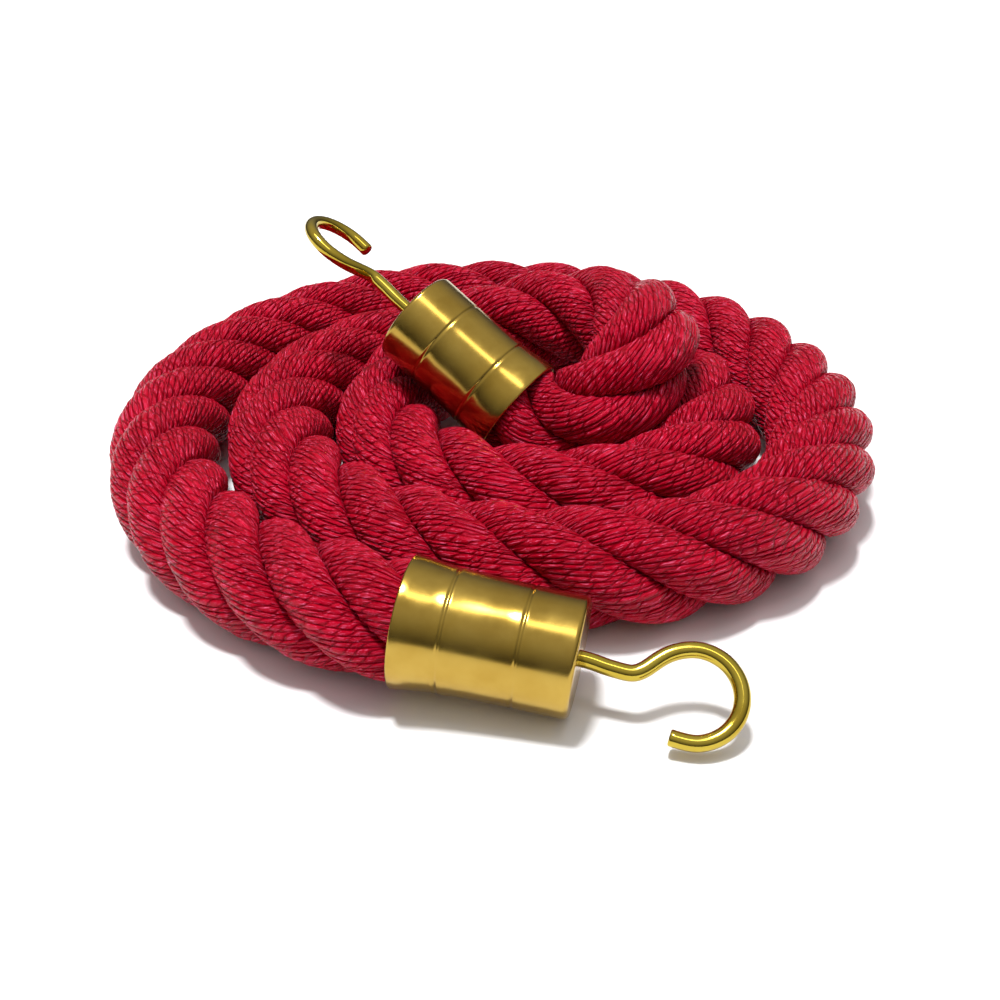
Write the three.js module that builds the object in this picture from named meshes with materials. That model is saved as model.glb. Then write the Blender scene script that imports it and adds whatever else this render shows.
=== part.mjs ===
// Barrier rope: a four-strand laid rope, coiled flat, with a brass cup cap and an open swivel hook
// on each end. Millimetres, +Z up. The rope lies on z = 0, with the origin under the middle of the
// whole object.
import * as THREE from 'three';

// From the frame in which the coil and the caps are laid out to the middle of the whole object
const TO_MIDDLE = [5.6, 13.6];

// Rope. Its turns press on each other, so the section is a little narrower than it is high.
const ROPE_D = 38;                                    // over the strands
const ROPE_HALF_WIDTH = 17.8;
const ROPE_SIDES = 12;                                // section: a polygon with one flat side down
const ROPE_STEPS = 80;
const FLAT_AT = 0.3;                                  // where it lies flat, as a part of its length
const REST_Z = ROPE_D / 2;                            // centre line of rope that lies on the floor

// Coil, wound clockwise seen from above, from the front cap inwards
const COIL_CENTRE = [-2, -1];
const COIL_RADIUS = 125.5;                            // centre line at the start of the outer turn
const COIL_DRIFT = 14.5;                              // how much each turn tightens on its way round
const COIL_STEP_IN = 25.5;                            // the shift to the next turn, near the front
const STEP_IN_AT = 0.79;                              // where in a turn that shift starts
const STEP_IN_SPAN = 0.32;                            // and how much of the turn it takes
const COIL_FROM = 0.103;                              // turns, 0 at the front
const COIL_TO = 2.187;
const POINTS_PER_TURN = 12;

// The last, tight turn climbs onto the coil and comes back down into the back cap
const INNER_TURN = [
  [-44.8, -3.6, 19.5], [-43.8, 12, 19.8], [-34.3, 28.4, 25.8], [-18.2, 39.7, 33.6],
  [0, 44, 39.1], [18.2, 42.7, 43.4], [35, 34.5, 47.4], [46, 20.9, 49.3],
  [49.3, 6, 50], [46.8, -4.3, 46.2], [39.2, -12, 39], [29.8, -16.6, 32.5],
  [20.8, -18, 28.9], [12.2, -17.3, 28.4],
];

// End caps: a pressed brass cup, flared at the mouth, with two rolled grooves
const CAP_LENGTH = 51;
const CAP_WALL = 1.2;
const CAP_R = 17.5;
const CAP_NECK_R = 17.9;                              // where the flare ends
const CAP_MOUTH_R = 19.5;
const CAP_GROOVES = [13.6, 35];                       // from the mouth
const GROOVE_DEPTH = 0.5;
const GROOVE_HALF = 0.9;
const SHANK_HOLE_R = 2.7;
const ROUND_SIDES = 36;

// Hook: bent from round wire, free to turn and to slide a little in the cap's end wall. The dimensions
// along it are from the outside of that wall, with the hook pulled out.
const WIRE_D = 4.8;
const SHANK_INSIDE = 9;
const BOW_CENTRE = [37.9, 3.8];                       // along the cap's axis, and to the tip's side
const BOW_R = 13.2;
const HOOK_TIP = [33.4, 16.6];
const HOOK_SHANK = [
  [-SHANK_INSIDE, 0], [-4, 0], [0, 0], [8.2, 0.2], [12.5, 0.8],
  [16.9, 1.2], [20.4, 1.1], [22.6, 0], [24.8, -2.1], [29.2, -6.4],
];
const CLEARANCE = 0.3;
const WASHER = { outer: 8, inner: 2.8, thick: 1.2, at: CAP_LENGTH - CAP_WALL - CLEARANCE };
const NUT = { flats: 8, thick: 4, at: WASHER.at - WASHER.thick - CLEARANCE };

// Each end of the rope is bound tight, so that it goes into its cap
const BOUND_R = 14;
const BOUND_INSIDE = 35.5;
const BOUND_STEP = 5;
const END_GAP = 0.5;                                  // between the free rope's end face and the bound end

// Where the caps lie: the centre of the mouth, the way the closed end points, the hook's turn in the cap
// and how far it is pushed in, and how much bound rope shows outside the mouth
const FRONT_CAP = {
  mouth: [-29.8, -128.4, 22.6], azimuth: -12, rise: -5.5, hookTurn: 56, hookIn: 5.5, boundOutside: 10,
};
const BACK_CAP = {
  mouth: [2.9, -13.8, 32.2], azimuth: 150, rise: 31.5, hookTurn: 74, hookIn: 0, boundOutside: 30,
};

const material = (color, roughness, metalness) => (
  new THREE.MeshStandardMaterial({ color, roughness, metalness })
);
const ropeRed = material(0xb01030, 0.5, 0);
const bindingRed = material(0x8c0c26, 0.7, 0);
const brass = material(0xc2a443, 0.25, 1);
const brassWire = material(0xc9ab3c, 0.2, 1);

const radians = THREE.MathUtils.degToRad;

function named(name, geometry, mat) {
  const mesh = new THREE.Mesh(geometry, mat);
  mesh.name = name;
  return mesh;
}

function axisOf({ azimuth, rise }) {
  const a = radians(azimuth);
  const e = radians(rise);
  return new THREE.Vector3(Math.cos(a) * Math.cos(e), Math.sin(a) * Math.cos(e), Math.sin(e));
}

// The frame of a cap: +Y out through its closed end, +Z as near to up as it goes
function capFrame(cap) {
  const y = axisOf(cap);
  const z = new THREE.Vector3(0, 0, 1).addScaledVector(y, -y.z).normalize();
  const x = new THREE.Vector3().crossVectors(y, z);
  const frame = new THREE.Group();
  frame.quaternion.setFromRotationMatrix(new THREE.Matrix4().makeBasis(x, y, z));
  frame.position.set(...cap.mouth);
  return frame;
}

const ease = (t) => THREE.MathUtils.smoothstep(t, 0, 1);

function coilPoint(turn) {
  const steps = ease((turn - STEP_IN_AT) / STEP_IN_SPAN) + ease((turn - 1 - STEP_IN_AT) / STEP_IN_SPAN);
  const r = COIL_RADIUS - COIL_DRIFT * turn - COIL_STEP_IN * steps;
  const angle = 2 * Math.PI * turn;
  const x = COIL_CENTRE[0] - r * Math.sin(angle);
  const y = COIL_CENTRE[1] - r * Math.cos(angle);
  return new THREE.Vector3(x, y, REST_Z);
}

const alongCap = (cap, distance) => (
  new THREE.Vector3(...cap.mouth).addScaledVector(axisOf(cap), distance)
);

function ropeRoute() {
  const points = [];
  for (const distance of [BOUND_INSIDE, 20, 0]) points.push(alongCap(FRONT_CAP, distance));
  const turns = COIL_TO - COIL_FROM;
  const count = Math.round(turns * POINTS_PER_TURN);
  for (let i = 0; i <= count; i++) points.push(coilPoint(COIL_FROM + turns * i / count));
  for (const p of INNER_TURN) points.push(new THREE.Vector3(...p));
  for (const distance of [0, 20, BOUND_INSIDE]) points.push(alongCap(BACK_CAP, distance));
  const route = new THREE.CatmullRomCurve3(points, false, 'centripetal');
  route.arcLengthDivisions = 2000;
  return route;
}

const route = ropeRoute();

// The part of the route between two distances from its start, never below the rope's resting height
class Stretch extends THREE.Curve {
  constructor(from, to) {
    super();
    this.from = from / route.getLength();
    this.to = to / route.getLength();
  }

  getPoint(t, target = new THREE.Vector3()) {
    route.getPointAt(this.from + (this.to - this.from) * t, target);
    return target.setZ(Math.max(target.z, REST_Z));
  }
}

// A polygon with flat sides at half a width and half a height from its middle
function polygon(sides, halfHeight, halfWidth = halfHeight, turn = 0) {
  const toCorner = 1 / Math.cos(Math.PI / sides);
  const middle = new THREE.Vector2();
  const corners = [];
  for (let i = 0; i < sides; i++) {
    const a = (i + 0.5) / sides * 2 * Math.PI;
    const corner = new THREE.Vector2(halfHeight * Math.cos(a), halfWidth * Math.sin(a));
    corners.push(corner.multiplyScalar(toCorner).rotateAround(middle, turn));
  }
  return new THREE.Shape(corners);
}

// How far the extrusion's own frame is turned from upright where the path lies flat
function turnOfFrame(path) {
  const { normals, binormals } = path.computeFrenetFrames(ROPE_STEPS, false);
  const i = Math.round(ROPE_STEPS * FLAT_AT);
  return Math.atan2(binormals[i].z, normals[i].z);
}

function ropeGeometry() {
  const from = BOUND_INSIDE + FRONT_CAP.boundOutside + END_GAP;
  const to = route.getLength() - BOUND_INSIDE - BACK_CAP.boundOutside - END_GAP;
  const extrudePath = new Stretch(from, to);
  const section = polygon(ROPE_SIDES, ROPE_D / 2, ROPE_HALF_WIDTH, turnOfFrame(extrudePath));
  return new THREE.ExtrudeGeometry(section, { steps: ROPE_STEPS, extrudePath });
}

function boundEndGeometry(cap) {
  const length = BOUND_INSIDE + cap.boundOutside;
  const start = cap === FRONT_CAP ? 0 : route.getLength() - length;
  const extrudePath = new Stretch(start, start + length);
  const steps = Math.round(length / BOUND_STEP);
  return new THREE.ExtrudeGeometry(polygon(ROPE_SIDES, BOUND_R), { steps, extrudePath });
}

const groove = (r, at) => [
  [r, at - GROOVE_HALF], [r - GROOVE_DEPTH, at - GROOVE_HALF / 3],
  [r - GROOVE_DEPTH, at + GROOVE_HALF / 3], [r, at + GROOVE_HALF],
];

function turned(profile) {
  const points = profile.map(([r, y]) => new THREE.Vector2(r, y));
  points.push(points[0].clone());
  return new THREE.LatheGeometry(points, ROUND_SIDES);
}

function capGeometry() {
  const flare = [[CAP_MOUTH_R, 0], [19.2, 3.5], [18.4, 8]];
  const outer = [...flare, ...groove(CAP_NECK_R, CAP_GROOVES[0]), ...groove(CAP_R, CAP_GROOVES[1]),
    [CAP_R, CAP_LENGTH - 1], [CAP_R - 1, CAP_LENGTH]];
  const inner = [[SHANK_HOLE_R, CAP_LENGTH], [SHANK_HOLE_R, CAP_LENGTH - CAP_WALL],
    [CAP_R - CAP_WALL, CAP_LENGTH - CAP_WALL],
    ...groove(CAP_R - CAP_WALL, CAP_GROOVES[1]).reverse(),
    ...groove(CAP_NECK_R - CAP_WALL, CAP_GROOVES[0]).reverse(),
    [17.2, 8], [18, 3.5], [CAP_MOUTH_R - CAP_WALL, 0]];
  return turned([...outer, ...inner]);
}

// The hook's centre line, in the plane of the cap's axis (+Y) and the tip's side (+X)
function hookRoute() {
  const points = HOOK_SHANK.map(([along, aside]) => new THREE.Vector3(aside, along, 0));
  for (let degrees = -100; degrees <= 80; degrees += 20) {
    const a = radians(degrees);
    const aside = BOW_CENTRE[1] + BOW_R * Math.sin(a);
    points.push(new THREE.Vector3(aside, BOW_CENTRE[0] + BOW_R * Math.cos(a), 0));
  }
  points.push(new THREE.Vector3(HOOK_TIP[1], HOOK_TIP[0], 0));
  return new THREE.CatmullRomCurve3(points, false, 'centripetal');
}

function hookGeometry() {
  const section = new THREE.Shape().absarc(0, 0, WIRE_D / 2, 0, 2 * Math.PI);
  return new THREE.ExtrudeGeometry(section, { steps: 60, curveSegments: 10, extrudePath: hookRoute() });
}

function washerGeometry() {
  const { outer, inner, thick, at } = WASHER;
  return turned([[inner, at - thick], [outer, at - thick], [outer, at], [inner, at]]);
}

function nutGeometry() {
  const { flats, thick, at } = NUT;
  const hex = polygon(6, flats / 2);
  hex.holes.push(new THREE.Path().absarc(0, 0, SHANK_HOLE_R, 0, 2 * Math.PI, true));
  const solid = new THREE.ExtrudeGeometry(hex, { depth: thick, bevelEnabled: false, curveSegments: 12 });
  return solid.rotateX(-Math.PI / 2).translate(0, at - thick, 0);
}

// A cap with everything in it, named front_... or back_...
function ropeEnd(name, cap) {
  const frame = capFrame(cap);
  frame.add(named(`${name}_end_cap`, capGeometry(), brass));
  frame.add(named(`${name}_hook_washer`, washerGeometry(), brass));
  const swivel = new THREE.Group();
  swivel.add(named(`${name}_hook_nut`, nutGeometry(), brass));
  const hook = named(`${name}_hook`, hookGeometry(), brassWire);
  hook.position.y = CAP_LENGTH;
  swivel.add(hook);
  swivel.position.y = -cap.hookIn;
  swivel.rotation.y = radians(90 - cap.hookTurn);     // the tip hangs straight down at hookTurn = 0
  frame.add(swivel);
  return frame;
}

const barrierRope = new THREE.Group();
barrierRope.position.set(...TO_MIDDLE, 0);
barrierRope.add(named('rope', ropeGeometry(), ropeRed));
barrierRope.add(named('front_bound_end', boundEndGeometry(FRONT_CAP), bindingRed));
barrierRope.add(named('back_bound_end', boundEndGeometry(BACK_CAP), bindingRed));
barrierRope.add(ropeEnd('front', FRONT_CAP));
barrierRope.add(ropeEnd('back', BACK_CAP));

export default barrierRope;
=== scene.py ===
"""Barrier rope: four laid strands of silky crimson yarn, coiled flat, with a brass cap and hook
on each end."""
import math

import bpy
import numpy as np
from mathutils import Euler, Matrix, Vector


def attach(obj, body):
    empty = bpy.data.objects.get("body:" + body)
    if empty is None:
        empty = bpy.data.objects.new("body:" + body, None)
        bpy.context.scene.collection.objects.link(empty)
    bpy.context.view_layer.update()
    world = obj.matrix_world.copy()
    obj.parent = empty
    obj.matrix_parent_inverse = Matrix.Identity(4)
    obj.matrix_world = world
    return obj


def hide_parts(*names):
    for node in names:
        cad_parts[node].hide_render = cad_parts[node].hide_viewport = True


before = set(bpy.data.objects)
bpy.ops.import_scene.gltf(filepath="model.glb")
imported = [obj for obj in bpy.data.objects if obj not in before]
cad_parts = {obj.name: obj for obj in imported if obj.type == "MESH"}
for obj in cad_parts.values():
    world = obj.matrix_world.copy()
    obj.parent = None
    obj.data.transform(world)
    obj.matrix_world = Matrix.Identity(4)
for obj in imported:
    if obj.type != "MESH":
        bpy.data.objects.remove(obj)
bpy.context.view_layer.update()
RNG = np.random.default_rng(7)
MM = 0.001
UP = np.array([0.0, 0.0, 1.0])


# ---------------------------------------------------------------- the rope's route, as in the CAD model

TO_MIDDLE = np.array([5.6, 13.6, 0.0]) * MM
ROPE_D = 38 * MM
REST_Z = ROPE_D / 2
COIL_CENTRE = (-2 * MM, -1 * MM)
COIL_RADIUS = 125.5 * MM
COIL_DRIFT = 14.5 * MM
COIL_STEP_IN = 25.5 * MM
STEP_IN_AT, STEP_IN_SPAN = 0.79, 0.32
COIL_FROM, COIL_TO = 0.103, 2.187
POINTS_PER_TURN = 12
INNER_TURN = [
    (-44.8, -3.6, 19.5), (-43.8, 12, 19.8), (-34.3, 28.4, 25.8), (-18.2, 39.7, 33.6),
    (0, 44, 39.1), (18.2, 42.7, 43.4), (35, 34.5, 47.4), (46, 20.9, 49.3),
    (49.3, 6, 50), (46.8, -4.3, 46.2), (39.2, -12, 39), (29.8, -16.6, 32.5),
    (20.8, -18, 28.9), (12.2, -17.3, 28.4),
]

CAP_LENGTH = 51 * MM
CAP_WALL = 1.2 * MM
CAP_R = 17.5 * MM
CAP_MOUTH_R = 19.5 * MM
CAP_GROOVES = (13.6 * MM, 35 * MM)
BOUND_INSIDE = 35.5 * MM
WIRE_R = 2.4 * MM


class Cap:
    """Where a cap lies: its mouth, the frame with +Y out through its closed end, and how its hook
    sits in it."""

    def __init__(self, mouth, azimuth, rise, hook_turn, hook_in):
        self.mouth = np.array(mouth) * MM
        self.hook_in = hook_in * MM
        a, e = math.radians(azimuth), math.radians(rise)
        self.y = np.array([math.cos(a) * math.cos(e), math.sin(a) * math.cos(e), math.sin(e)])
        z = UP - self.y * self.y[2]
        self.z = z / np.linalg.norm(z)
        self.x = np.cross(self.y, self.z)
        t = math.radians(hook_turn)
        self.tip_side = math.sin(t) * self.x - math.cos(t) * self.z

    def along(self, distance):
        return self.mouth + self.y * distance

    def place(self, points, x_axis=None):
        """Points of the cap's own frame, as points of the object's frame."""
        x = self.x if x_axis is None else x_axis
        z = np.cross(x, self.y)
        points = np.asarray(points)
        return TO_MIDDLE + self.mouth + points[:, :1] * x + points[:, 1:2] * self.y + points[:, 2:3] * z


FRONT = Cap((-29.8, -128.4, 22.6), -12, -5.5, 56, 5.5)
BACK = Cap((2.9, -13.8, 32.2), 150, 31.5, 74, 0)


def smoothstep(t):
    t = min(max(t, 0.0), 1.0)
    return t * t * (3 - 2 * t)


def coil_point(turn):
    steps = smoothstep((turn - STEP_IN_AT) / STEP_IN_SPAN)
    steps += smoothstep((turn - 1 - STEP_IN_AT) / STEP_IN_SPAN)
    r = COIL_RADIUS - COIL_DRIFT * turn - COIL_STEP_IN * steps
    angle = 2 * math.pi * turn
    return (COIL_CENTRE[0] - r * math.sin(angle), COIL_CENTRE[1] - r * math.cos(angle), REST_Z)


def route_points():
    points = [tuple(FRONT.along(distance)) for distance in (BOUND_INSIDE, 20 * MM, 0)]
    turns = COIL_TO - COIL_FROM
    count = round(turns * POINTS_PER_TURN)
    points += [coil_point(COIL_FROM + turns * i / count) for i in range(count + 1)]
    points += [tuple(c * MM for c in p) for p in INNER_TURN]
    points += [tuple(BACK.along(distance)) for distance in (0, 20 * MM, BOUND_INSIDE)]
    return np.array(points) + TO_MIDDLE


SPLINE_SAMPLES = 12000


def smooth_line(points, step):
    """A natural cubic spline through the points, cut into steps of one length."""
    gaps = np.sqrt(np.linalg.norm(np.diff(points, axis=0), axis=1))
    t = np.concatenate([[0], np.cumsum(gaps)])
    n = len(points)
    system, right = np.eye(n), np.zeros((n, 3))
    slopes = np.diff(points, axis=0) / gaps[:, None]
    for i in range(1, n - 1):
        system[i, i - 1:i + 2] = gaps[i - 1], 2 * (gaps[i - 1] + gaps[i]), gaps[i]
        right[i] = 6 * (slopes[i] - slopes[i - 1])
    second = np.linalg.solve(system, right)
    fine = np.linspace(0, t[-1], SPLINE_SAMPLES)
    i = np.clip(np.searchsorted(t, fine, side="right") - 1, 0, n - 2)
    h, b = gaps[i][:, None], (fine - t[i])[:, None] / gaps[i][:, None]
    a = 1 - b
    line = (a * points[i] + b * points[i + 1]
            + ((a ** 3 - a) * second[i] + (b ** 3 - b) * second[i + 1]) * h * h / 6)
    far = np.concatenate([[0], np.cumsum(np.linalg.norm(np.diff(line, axis=0), axis=1))])
    s = np.linspace(0, far[-1], round(far[-1] / step) + 1)
    return np.stack([np.interp(s, far, line[:, k]) for k in range(3)], axis=1), s


def frames_along(line):
    """Tangent, normal and binormal at each point, turning no more than the line makes them."""
    tangent = np.gradient(line, axis=0)
    tangent /= np.linalg.norm(tangent, axis=1)[:, None]
    normal = np.zeros_like(line)
    n = np.cross(tangent[0], UP)
    for i, t in enumerate(tangent):
        n = n - t * (n @ t)
        n /= np.linalg.norm(n)
        normal[i] = n
    return tangent, normal, np.cross(tangent, normal)


# ---------------------------------------------------------------- mesh helpers

def mesh_object(name, points, faces, uv=None, sharp=None):
    mesh = bpy.data.meshes.new(name)
    mesh.from_pydata([tuple(p) for p in points], [], faces)
    mesh.polygons.foreach_set("use_smooth", [True] * len(mesh.polygons))
    if uv is not None:
        layer = mesh.uv_layers.new(name="lay")
        layer.data.foreach_set("uv", np.asarray(uv, dtype=np.float32).ravel())
    if sharp is not None:
        mesh.set_sharp_from_angle(angle=math.radians(sharp))
    mesh.update()
    ob = bpy.data.objects.new(name, mesh)
    bpy.context.scene.collection.objects.link(ob)
    return ob


def ring_faces(rings, around, closed_along=False):
    """Quads between rings of points; each ring runs anticlockwise seen from the last ring."""
    faces = []
    for i in range(rings if closed_along else rings - 1):
        a, b = i * around, (i + 1) % rings * around
        faces += [(a + j, a + (j + 1) % around, b + (j + 1) % around, b + j) for j in range(around)]
    return faces


# ---------------------------------------------------------------- materials

def new_material(name):
    mat = bpy.data.materials.new(name)
    mat.use_nodes = True
    mat.node_tree.nodes.clear()
    return mat, Nodes(mat.node_tree)


class Nodes:
    """Short forms for making and joining shader nodes."""

    def __init__(self, tree):
        self.tree = tree

    def add(self, kind, **settings):
        node = self.tree.nodes.new("ShaderNode" + kind)
        for key, value in settings.items():
            setattr(node, key, value)
        return node

    def join(self, source, target):
        self.tree.links.new(source, target)

    def set(self, socket, value):
        if isinstance(value, bpy.types.NodeSocket):
            self.join(value, socket)
        else:
            socket.default_value = value

    def math(self, operation, a, b=0.0):
        node = self.add("Math", operation=operation)
        for socket, value in zip(node.inputs, (a, b)):
            self.set(socket, value)
        return node.outputs[0]

    def noise(self, vector, scale, detail=2.0, roughness=0.5):
        node = self.add("TexNoise")
        self.set(node.inputs["Vector"], vector)
        node.inputs["Scale"].default_value = scale
        node.inputs["Detail"].default_value = detail
        node.inputs["Roughness"].default_value = roughness
        return node.outputs["Fac"]

    def ramp(self, value, stops):
        node = self.add("ValToRGB")
        self.set(node.inputs["Fac"], value)
        while len(node.color_ramp.elements) < len(stops):
            node.color_ramp.elements.new(0.5)
        for element, (position, colour) in zip(node.color_ramp.elements, stops):
            element.position = position
            element.color = (*colour, 1)
        return node.outputs["Color"]

    def span(self, value, low, high, to_low, to_high):
        node = self.add("MapRange")
        for socket, v in zip(node.inputs, (value, low, high, to_low, to_high)):
            self.set(socket, v)
        return node.outputs["Result"]

    def mix(self, factor, a, b):
        node = self.add("Mix", data_type="RGBA")
        sockets = [x for x in node.inputs if x.enabled]
        for socket, value in zip(sockets, (factor, a, b)):
            self.set(socket, value)
        return next(x for x in node.outputs if x.enabled)

    def bump(self, height, distance, strength=1.0):
        node = self.add("Bump")
        node.inputs["Strength"].default_value = strength
        node.inputs["Distance"].default_value = distance
        self.set(node.inputs["Height"], height)
        return node.outputs["Normal"]

    def principled(self, **values):
        node = self.add("BsdfPrincipled")
        for key, value in values.items():
            self.set(node.inputs[key.replace("_", " ")], value)
        out = self.add("OutputMaterial")
        self.join(node.outputs["BSDF"], out.inputs["Surface"])


YARNS = 34                                     # round each strand
PLY_LENGTH = 5.2                               # mm along a yarn from one ply to the next
PLY_SLANT = 0.6                                # of a ply's length, across one yarn
PLY_SHAPE = 0.55                               # below 1: a broad swelling with a narrow line between
YARN_BUMP = 0.0007                             # metres


def yarn_material(name, deep, middle, bright, painted_glint_colour):
    """Silky yarn. The strand's map holds the yarn's number across, and the distance along it in mm."""
    mat, n = new_material(name)
    where = n.add("UVMap", uv_map="lay")
    split = n.add("SeparateXYZ")
    n.join(where.outputs["UV"], split.inputs["Vector"])
    across, along = split.outputs["X"], split.outputs["Y"]
    number = n.math("FLOOR", across)
    inside = n.math("FRACT", across)
    lot = n.add("TexWhiteNoise", noise_dimensions="1D")
    n.join(number, lot.inputs["W"])
    chance = lot.outputs["Value"]
    place = n.add("TexCoord")
    slow = n.noise(place.outputs["Object"], 90.0, 2.0, 0.5)
    # the plies of a yarn, wound round it: short swellings with a line aslant between them, painted dark as
    # shade
    turn = n.math("ADD", n.math("DIVIDE", along, PLY_LENGTH), n.math("MULTIPLY", inside, PLY_SLANT))
    shift = n.math("ADD", n.math("MULTIPLY", chance, 7.0), n.math("MULTIPLY", slow, 2.4))
    turn = n.math("ADD", turn, shift)
    ply = n.math("ABSOLUTE", n.math("SINE", n.math("MULTIPLY", turn, math.pi)))
    ply = n.math("POWER", ply, PLY_SHAPE)
    # fine filaments, long and thin, that run with the ply
    thread = n.add("CombineXYZ")
    aslant = n.math("ADD", n.math("MULTIPLY", across, 6.0), n.math("MULTIPLY", turn, 1.5))
    n.join(aslant, thread.inputs["X"])
    n.join(n.math("MULTIPLY", turn, 1.4), thread.inputs["Y"])
    filament = n.noise(thread.outputs["Vector"], 1.6, 3.0, 0.65)
    # the yarn's own roundness, with painted shade darkest in the groove between two yarns
    groove = n.math("SINE", n.math("MULTIPLY", inside, math.pi))
    # how dark the painted shade in a groove gets, and how deep the groove is in the bump
    groove_depth_and_shade = n.span(n.noise(thread.outputs["Vector"], 0.35, 1.0, 0.5), 0.4, 0.6, 0.6, 0.05)
    edge = n.math("MULTIPLY", n.span(groove, 0.0, 0.6, groove_depth_and_shade, 1.0), n.span(ply, 0.25, 0.8, 0.25, 1.0))
    # the base colour, painted lighter on raised filaments as a highlight, with a thin bright painted glint
    # on the highest
    patches = n.noise(place.outputs["Object"], 45.0, 3.0, 0.6)
    tone = n.math("ADD", n.math("MULTIPLY", filament, 0.5), n.math("MULTIPLY", chance, 0.12))
    tone = n.math("ADD", tone, n.math("MULTIPLY", patches, 0.45))
    # painted shade: the tone is darkened in the grooves between yarns and on the lines between plies
    tone = n.math("MULTIPLY", tone, n.math("ADD", n.math("MULTIPLY", edge, 0.7), 0.3))
    raised = n.span(edge, 0.45, 0.85, 0.0, 1.0)
    glint = n.math("MULTIPLY", n.span(filament, 0.57, 0.66, 0.0, 1.0), raised)
    colour = n.mix(glint, n.ramp(tone, [(0.08, deep), (0.45, middle), (0.8, bright)]), painted_glint_colour)
    height = n.math("MULTIPLY", edge, n.math("ADD", n.math("MULTIPLY", filament, 0.6), 0.7))
    n.principled(
        Base_Color=colour,
        Roughness=n.span(filament, 0.3, 0.7, 0.38, 0.18),
        Normal=n.bump(height, YARN_BUMP),
        Specular_IOR_Level=0.6,
        Specular_Tint=(1.0, 0.04, 0.14, 1.0),
    )
    return mat


TARNISH_TINT = (0.82, 0.76, 0.6)               # of the clean colour
WORN_ROUGHER = 0.12
GRAIN_BUMP = 0.00002                           # metres


def brass_material(name, colour, rough, grain_scale):
    """Polished brass, a little tarnished, with a fine grain of handling marks."""
    mat, n = new_material(name)
    place = n.add("TexCoord")
    grain_map = n.add("Mapping")
    grain_map.inputs["Scale"].default_value = grain_scale
    n.join(place.outputs["Object"], grain_map.inputs["Vector"])
    grain = n.noise(grain_map.outputs["Vector"], 1.0, 4.0, 0.65)
    smears = n.noise(place.outputs["Object"], 55.0, 4.0, 0.6)
    tarnish = n.noise(place.outputs["Object"], 160.0, 3.0, 0.55)
    dull = tuple(c * k for c, k in zip(colour, TARNISH_TINT))
    wear = n.math("ADD", smears, n.math("MULTIPLY", tarnish, 0.5))
    n.principled(
        Base_Color=n.ramp(smears, [(0.3, dull), (0.62, colour)]),
        Metallic=1.0,
        Roughness=n.span(wear, 0.5, 1.1, rough, rough + WORN_ROUGHER),
        Normal=n.bump(grain, GRAIN_BUMP, 0.35),
    )
    return mat


def floor_material():
    mat, n = new_material("pale_floor")
    n.principled(Base_Color=(0.93, 0.93, 0.94, 1), Roughness=0.75, Specular_IOR_Level=0.2)
    return mat


# ---------------------------------------------------------------- camera

LENS = 46.44
CAMERA_AT = Vector((0, -0.4251, 0.2385))       # from the frame in which the coil is laid out
CAMERA_DOWN = 30.68                            # degrees below level
CAMERA_PAN = 0.5                               # degrees to the left


def make_camera():
    data = bpy.data.cameras.new("camera")
    data.lens = LENS
    data.sensor_width = 36
    data.clip_start, data.clip_end = 0.01, 50
    cam = bpy.data.objects.new("camera", data)
    cam.location = CAMERA_AT + Vector(TO_MIDDLE)
    cam.rotation_euler = Euler((math.radians(90 - CAMERA_DOWN), 0, math.radians(CAMERA_PAN)))
    bpy.context.scene.collection.objects.link(cam)
    bpy.context.scene.camera = cam


# ---------------------------------------------------------------- rope

STRANDS = 4
LAY_LENGTH = 2.8 * ROPE_D
STRAND_OUT = 0.23 * ROPE_D                     # from the rope's middle to a strand's
STRAND_R = 0.27 * ROPE_D
RING_STEP = 3.0 * MM
COLUMNS_PER_YARN = 4
YARN_DEPTH = 0.24 * MM
LOTS = 9                                       # sets of chance values, used in turn along a strand
LOT_LENGTH = 21 * MM
YARN_WANDER = 0.3                              # of a yarn's width, to either side
STRAND_GAP = 0.12 * MM
YARN_PROUD = 0.12 * MM                         # spread of how far a yarn stands out
CORNER_SHARPNESS = 24.0                        # of a strand's outline
IN_CAP = 16 * MM                               # how much of the laid rope goes into each cap
SQUEEZE = 0.14                                 # how much thinner it is there
SQUEEZE_FROM = -11 * MM                        # from the mouth, to full size outside it
SQUEEZE_OVER = 22 * MM
LAY_FROM = 6 * MM                              # of a turn of the lay that comes before the first point


def strand_outline(angle, radius, out):
    """Distance from a strand's middle to its surface: round outside, flat where it meets its neighbours."""
    away = np.abs(angle)
    side = np.full_like(angle, 1.0)            # a metre: no neighbour on that side
    leaning = away > math.radians(60)
    side[leaning] = ((out * math.sin(math.pi / STRANDS) - STRAND_GAP)
                     / np.sin(away[leaning] - math.pi / STRANDS))
    return (radius ** -CORNER_SHARPNESS + side ** -CORNER_SHARPNESS) ** (-1 / CORNER_SHARPNESS)


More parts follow.
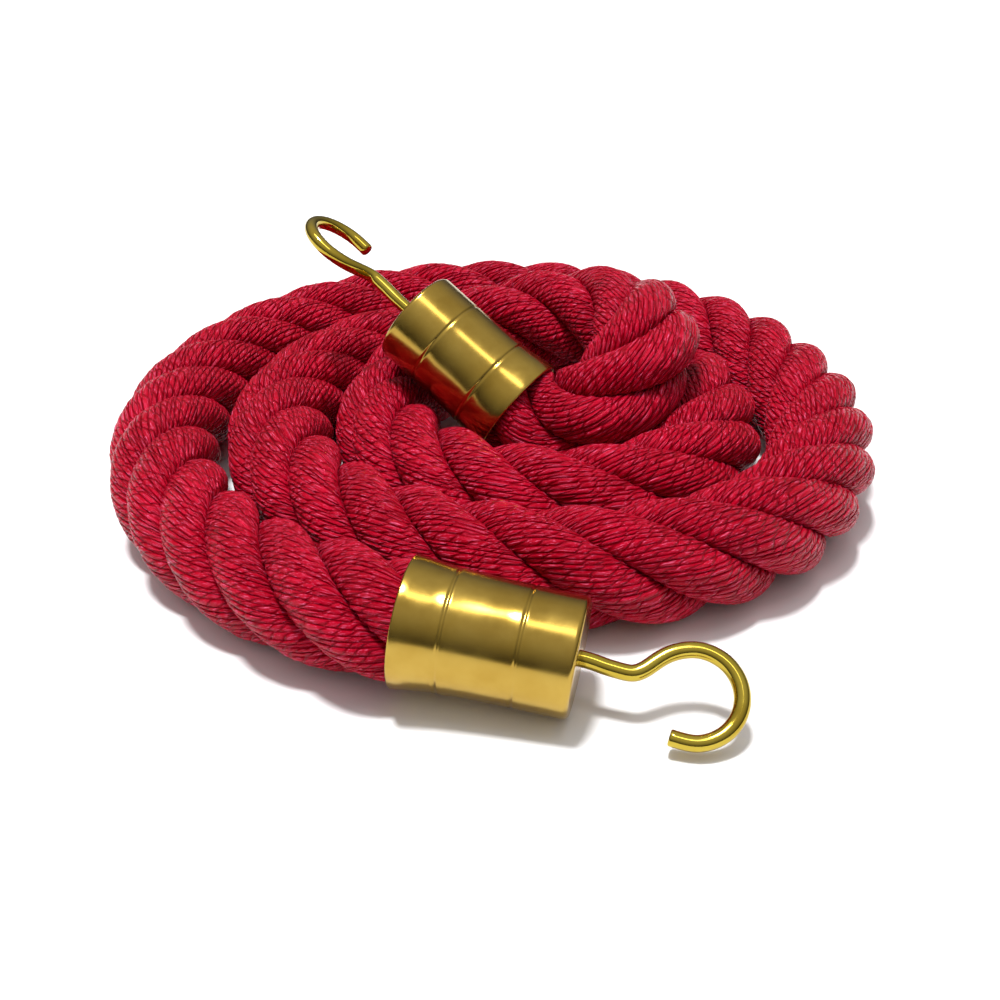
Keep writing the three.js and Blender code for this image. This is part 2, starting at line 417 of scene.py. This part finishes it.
def make_strand(index, line, s, axes, mat):
    tangent, normal, binormal = axes
    mouths = (BOUND_INSIDE, s[-1] - BOUND_INSIDE)
    rows = np.flatnonzero((s > mouths[0] - IN_CAP) & (s < mouths[1] + IN_CAP))
    columns = YARNS * COLUMNS_PER_YARN
    yarn = np.arange(columns) / COLUMNS_PER_YARN
    roll = -2 * math.pi / LAY_LENGTH * (STRAND_OUT + STRAND_R) / STRAND_R
    proud = RNG.normal(0, YARN_PROUD, (LOTS, YARNS))
    wander = RNG.uniform(-YARN_WANDER, YARN_WANDER, (LOTS, YARNS))
    wander = (wander + np.roll(wander, 1, axis=1)) * 2 * math.pi / YARNS
    points = []
    for row in rows:
        from_end = min(s[row] - mouths[0], mouths[1] - s[row])
        size = 1 - SQUEEZE * (1 - smoothstep((from_end - SQUEEZE_FROM) / SQUEEZE_OVER))
        turn = 2 * math.pi * ((s[row] + LAY_FROM) / LAY_LENGTH + index / STRANDS)
        which = s[row] / LOT_LENGTH % LOTS
        low, part = int(which), smoothstep(which % 1)
        high = (low + 1) % LOTS
        uneven = (1 - part) * proud[low] + part * proud[high]
        drift = (1 - part) * wander[low] + part * wander[high]
        drift = np.interp(yarn, np.arange(YARNS + 1), np.append(drift, drift[0]))
        angle = (2 * math.pi * yarn / YARNS + drift + roll * s[row] + math.pi) % (2 * math.pi) - math.pi
        radius = np.full(columns, STRAND_R * size)
        at = strand_outline(angle, radius, STRAND_OUT * size)
        relief = np.abs(np.sin(math.pi * (yarn % 1))) ** 0.8 - 0.6
        outside = np.clip((at - 0.6 * radius) / (0.4 * radius), 0, 1)
        at = at + (relief * 2 * YARN_DEPTH + np.repeat(uneven, COLUMNS_PER_YARN)) * outside
        x = STRAND_OUT * size + at * np.cos(angle)
        y = at * np.sin(angle)
        outward = math.cos(turn) * normal[row] + math.sin(turn) * binormal[row]
        sideways = -math.sin(turn) * normal[row] + math.cos(turn) * binormal[row]
        points.append(line[row] + x[:, None] * outward + y[:, None] * sideways)
    points = np.concatenate(points)
    points[:, 2] = np.maximum(points[:, 2], 0)  # pressed flat where it lies on the floor
    faces = ring_faces(len(rows), columns)
    mapped = s[rows] / MM
    uv = []
    for i in range(len(rows) - 1):
        for j in range(columns):
            u0, u1 = yarn[j], (j + 1) / COLUMNS_PER_YARN
            uv += [(u0, mapped[i]), (u1, mapped[i]), (u1, mapped[i + 1]), (u0, mapped[i + 1])]
    last = len(points) - columns
    faces += [tuple(reversed(range(columns))), tuple(range(last, last + columns))]
    uv += [(0.5, 0.0)] * (2 * columns)
    ob = mesh_object(f"rope_strand_{index + 1}", points, faces, uv)
    ob.data.materials.append(mat)
    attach(ob, "coiled_rope")
    return ob


def make_rope():
    line, s = smooth_line(route_points(), RING_STEP)
    axes = frames_along(line)
    # the last colour is a painted highlight: the pink of the thin bright glints on the yarn
    mat = yarn_material("crimson_yarn", deep=(0.07, 0.0, 0.001), middle=(0.4, 0.0, 0.011),
                        bright=(0.68, 0.004, 0.036), painted_glint_colour=(1.0, 0.2, 0.4, 1))
    strands = [make_strand(k, line, s, axes, mat) for k in range(STRANDS)]
    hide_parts("rope", "front_bound_end", "back_bound_end")


# ---------------------------------------------------------------- caps and hooks

ROUND = 144


def arc(centre, radius, start, end, steps=5):
    angles = np.radians(np.linspace(start, end, steps))
    return [(centre[0] + radius * math.cos(a), centre[1] + radius * math.sin(a)) for a in angles]


def turned(name, profile, cap, sharp=38):
    """A closed profile of (radius, distance from the mouth), turned about the cap's axis."""
    angles = 2 * math.pi * np.arange(ROUND) / ROUND
    points = [(r * math.cos(a), y, r * math.sin(a)) for r, y in profile for a in angles]
    faces = ring_faces(len(profile), ROUND, closed_along=True)
    return mesh_object(name, cap.place(points), faces, sharp=sharp)


def groove(r, at):
    """A rolled groove: a shallow round-bottomed trough with a slightly raised lip on each side."""
    half = [(1.4, 0), (0.95, 0.07), (0.6, 0.02), (0.3, -0.17)]
    shape = [(-along, up) for along, up in half] + [(0, -0.24)] + half[::-1]
    return [(r + up * MM, at + along * MM) for along, up in shape]


def make_cap(name, cap, mat):
    """A cup with a rolled lip at the mouth, a flare, two grooves, and a hole for the hook's shank."""
    edge = 1.6 * MM                            # rounding of the closed end
    end = CAP_LENGTH - edge
    lip = CAP_WALL / 2
    hole = 2.6 * MM
    hole_edge = 0.5 * MM
    outer = arc((CAP_MOUTH_R - lip, lip), lip, -90, 0)
    outer += [(19.2 * MM, 3 * MM), (18.8 * MM, 6 * MM), (18.4 * MM, 9 * MM)]
    outer += groove(18.1 * MM, CAP_GROOVES[0])
    outer += [(17.85 * MM, 18 * MM), (17.65 * MM, 24 * MM), (17.55 * MM, 30 * MM)]
    outer += groove(CAP_R, CAP_GROOVES[1]) + arc((CAP_R - edge, end), edge, 0, 90, 7)
    outer += [(hole + 1.2 * MM, CAP_LENGTH)]
    outer += arc((hole + hole_edge, CAP_LENGTH - hole_edge), hole_edge, 90, 180, 4)
    inner_r = CAP_R - CAP_WALL
    inner = [(hole, CAP_LENGTH - CAP_WALL), (inner_r, CAP_LENGTH - CAP_WALL), (inner_r, 20 * MM)]
    inner += [(17 * MM, 9.4 * MM), (17.7 * MM, 6 * MM), (18.4 * MM, 3 * MM)]
    inner += arc((CAP_MOUTH_R - lip, lip), lip, 180, 260)
    ob = turned(name, outer + inner, cap)
    ob.data.materials.append(mat)
    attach(ob, "coiled_rope")
    return ob


BOW_CENTRE = (37.9 * MM, 3.8 * MM)
BOW_R = 13.2 * MM
HOOK_TIP = (33.4 * MM, 16.6 * MM)
HOOK_SHANK = [
    (-9, 0), (-4, 0), (0, 0), (8.2, 0.2), (12.5, 0.8),
    (16.9, 1.2), (20.4, 1.1), (22.6, 0), (24.8, -2.1), (29.2, -6.4),
]
CUT_EDGE = 0.35 * MM                           # the cut end of the wire is barely broken at its edge


def hook_points():
    """The hook's line, as (aside, along, 0), with the outside of the cap's closed end at 0."""
    points = [(aside * MM, along * MM, 0.0) for along, aside in HOOK_SHANK]
    for degrees in range(-100, 81, 20):
        a = math.radians(degrees)
        points.append((BOW_CENTRE[1] + BOW_R * math.sin(a), BOW_CENTRE[0] + BOW_R * math.cos(a), 0.0))
    points.append((HOOK_TIP[1], HOOK_TIP[0], 0.0))
    return np.array(points)


def make_hook(name, body, cap, mat):
    around = 28
    line, s = smooth_line(hook_points(), 0.7 * MM)
    tangent, normal, binormal = frames_along(line)
    angles = 2 * math.pi * np.arange(around) / around
    points, radii = [], np.full(len(s), WIRE_R)
    radii[-1] -= CUT_EDGE
    line[-2] = line[-1] - tangent[-1] * CUT_EDGE
    for i in range(len(s)):
        ring = np.cos(angles)[:, None] * normal[i] + np.sin(angles)[:, None] * binormal[i]
        points.append(line[i] + radii[i] * ring)
    points = np.concatenate(points)
    faces = ring_faces(len(s), around)
    last = len(points) - around
    faces += [tuple(reversed(range(around))), tuple(range(last, last + around))]
    points[:, 1] += CAP_LENGTH - cap.hook_in
    ob = mesh_object(name, cap.place(points, cap.tip_side), faces, sharp=50)
    ob.data.materials.append(mat)
    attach(ob, body)
    return ob


def make_fittings():
    cap_brass = brass_material("cap_brass", (0.48, 0.32, 0.065), 0.14, (40, 40, 40))
    wire_brass = brass_material("wire_brass", (0.55, 0.42, 0.06), 0.08, (60, 60, 60))
    for side, cap in (("front", FRONT), ("back", BACK)):
        cup = make_cap(f"{side}_cap", cap, cap_brass)
        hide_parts(f"{side}_end_cap")
        hook = make_hook(f"{side}_swivel_hook", f"{side}_hook", cap, wire_brass)
        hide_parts(f"{side}_hook")
        for node, mat in ((f"{side}_hook_washer", cap_brass), (f"{side}_hook_nut", wire_brass)):
            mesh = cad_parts[node].data
            mesh.materials.clear()
            mesh.materials.append(mat)


# ---------------------------------------------------------------- floor and light

def make_floor():
    half = 6.0
    corners = [(-half, -half, 0), (half, -half, 0), (half, half, 0), (-half, half, 0)]
    ob = mesh_object("floor", corners, [(0, 1, 2, 3)])
    ob.data.materials.append(floor_material())


def make_light(kind, name, energy, location, towards=(0, 0, 0), **settings):
    data = bpy.data.lights.new(name, kind)
    data.energy = energy
    for key, value in settings.items():
        setattr(data, key, value)
    ob = bpy.data.objects.new(name, data)
    ob.location = location
    ob.rotation_euler = (Vector(towards) - Vector(location)).to_track_quat("-Z", "Y").to_euler()
    bpy.context.scene.collection.objects.link(ob)


def make_studio():
    make_floor()
    make_light("SUN", "key", 3.0, (-0.13, 0.03, 1.0), angle=math.radians(9))
    make_light("AREA", "softbox", 3.0, (-0.1, -0.1, 1.3), shape="RECTANGLE", size=1.1, size_y=0.2)
    world = bpy.data.worlds.new("studio")
    world.use_nodes = True
    n = Nodes(world.node_tree)
    sky = n.add("TexCoord")
    height = n.add("SeparateXYZ")
    n.join(sky.outputs["Generated"], height.inputs["Vector"])
    background = world.node_tree.nodes["Background"]
    background.inputs["Color"].default_value = (1.0, 0.985, 0.97, 1)
    n.set(background.inputs["Strength"], n.span(height.outputs["Z"], 0.1, 0.8, 0.06, 0.62))
    bpy.context.scene.world = world
    bpy.context.scene.view_settings.view_transform = "Standard"


make_camera()
make_rope()
make_fittings()
make_studio()
